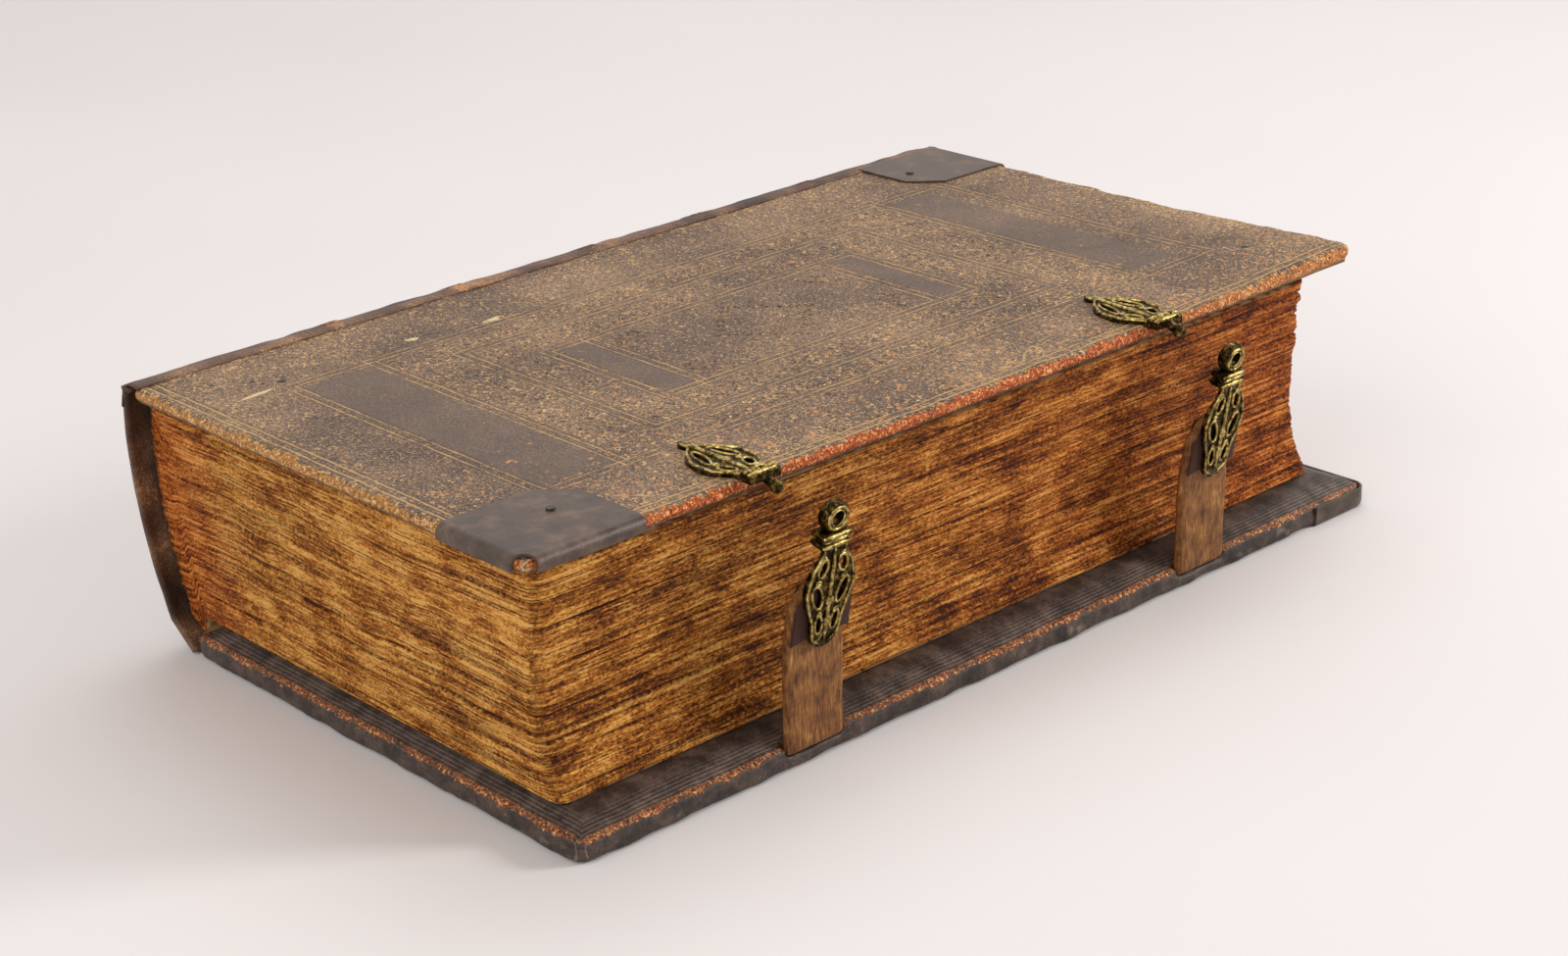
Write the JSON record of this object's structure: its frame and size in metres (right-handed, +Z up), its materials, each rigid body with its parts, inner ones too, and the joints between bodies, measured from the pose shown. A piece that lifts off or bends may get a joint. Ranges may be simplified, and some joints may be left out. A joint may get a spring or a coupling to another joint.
{
  "type": "antique leather book",
  "caption": "Old folio bound in dark tooled leather over boards, with raised spine bands, metal corner pieces and fore-edge clasps on leather straps; covers and straps turn.",
  "frame": {"origin": "middle of the lower cover's underside, on the surface the book lies on", "axes": "+X from the spine to the fore-edge, +Y from the tail to the head of the pages, +Z up"},
  "size_m": [0.2531, 0.3971, 0.1074],
  "materials": {
    "leather": "worn dark leather",
    "strap_leather": "worn brown leather",
    "patch_leather": "dark leather",
    "board_wood": "split board",
    "leaves": "aged, stained leaf edges",
    "lining_paper": "aged paper",
    "cord": "hemp cord",
    "band_silk": "worn thread",
    "corner_metal": "dark worn sheet",
    "nail_metal": "dark",
    "clasp_metal": "dark patina"
  },
  "bodies": {
    "lower_cover": {"lower_board": "board_wood", "lower_leather": "leather", "lower_pastedown": "lining_paper", "corner_piece_lower_head": "corner_metal", "corner_nail_lower": "nail_metal", "strap_root_tail": "strap_leather", "strap_root_head": "strap_leather", "strap_nails": "nail_metal"},
    "text_block": {"text_block": "leaves", "spine_lining": "lining_paper", "spine_leather": "leather", "head_band": "band_silk", "sewing_cord_1": "cord", "sewing_cord_2": "cord", "sewing_cord_3": "cord", "sewing_cord_4": "cord", "sewing_cord_5": "cord"},
    "upper_cover": {"upper_board": "board_wood", "upper_leather": "leather", "upper_pastedown": "lining_paper", "corner_piece_upper_tail": "corner_metal", "corner_piece_upper_head": "corner_metal", "corner_nails_upper": "nail_metal", "catch_plate_tail": "clasp_metal", "catch_plate_head": "clasp_metal", "catch_pins": "clasp_metal"},
    "strap_tail": {"strap_tail": "strap_leather", "strap_patch_tail": "patch_leather", "clasp_tail": "clasp_metal", "clasp_back_tail": "clasp_metal", "clasp_rivets_tail": "clasp_metal"},
    "strap_head": {"strap_head": "strap_leather", "strap_patch_head": "patch_leather", "clasp_head": "clasp_metal", "clasp_back_head": "clasp_metal", "clasp_rivets_head": "clasp_metal"}
  },
  "joints": [
    {"name": "lower_joint", "type": "hinge", "parent": "lower_cover", "child": "text_block", "pos_m": [-0.1085, 0, 0], "axis": [0, -1, 0], "range_deg": [0, 45]},
    {"name": "upper_joint", "type": "hinge", "parent": "text_block", "child": "upper_cover", "pos_m": [-0.1085, 0, 0.1042], "axis": [0, -1, 0], "range_deg": [0, 135]},
    {"name": "strap_tail_joint", "type": "hinge", "parent": "lower_cover", "child": "strap_tail", "pos_m": [0.10665, -0.0945, 0.0072], "axis": [0, 1, 0], "range_deg": [-8, 80]},
    {"name": "strap_head_joint", "type": "hinge", "parent": "lower_cover", "child": "strap_head", "pos_m": [0.10665, 0.0948, 0.0072], "axis": [0, 1, 0], "range_deg": [-8, 80]}
  ]
}
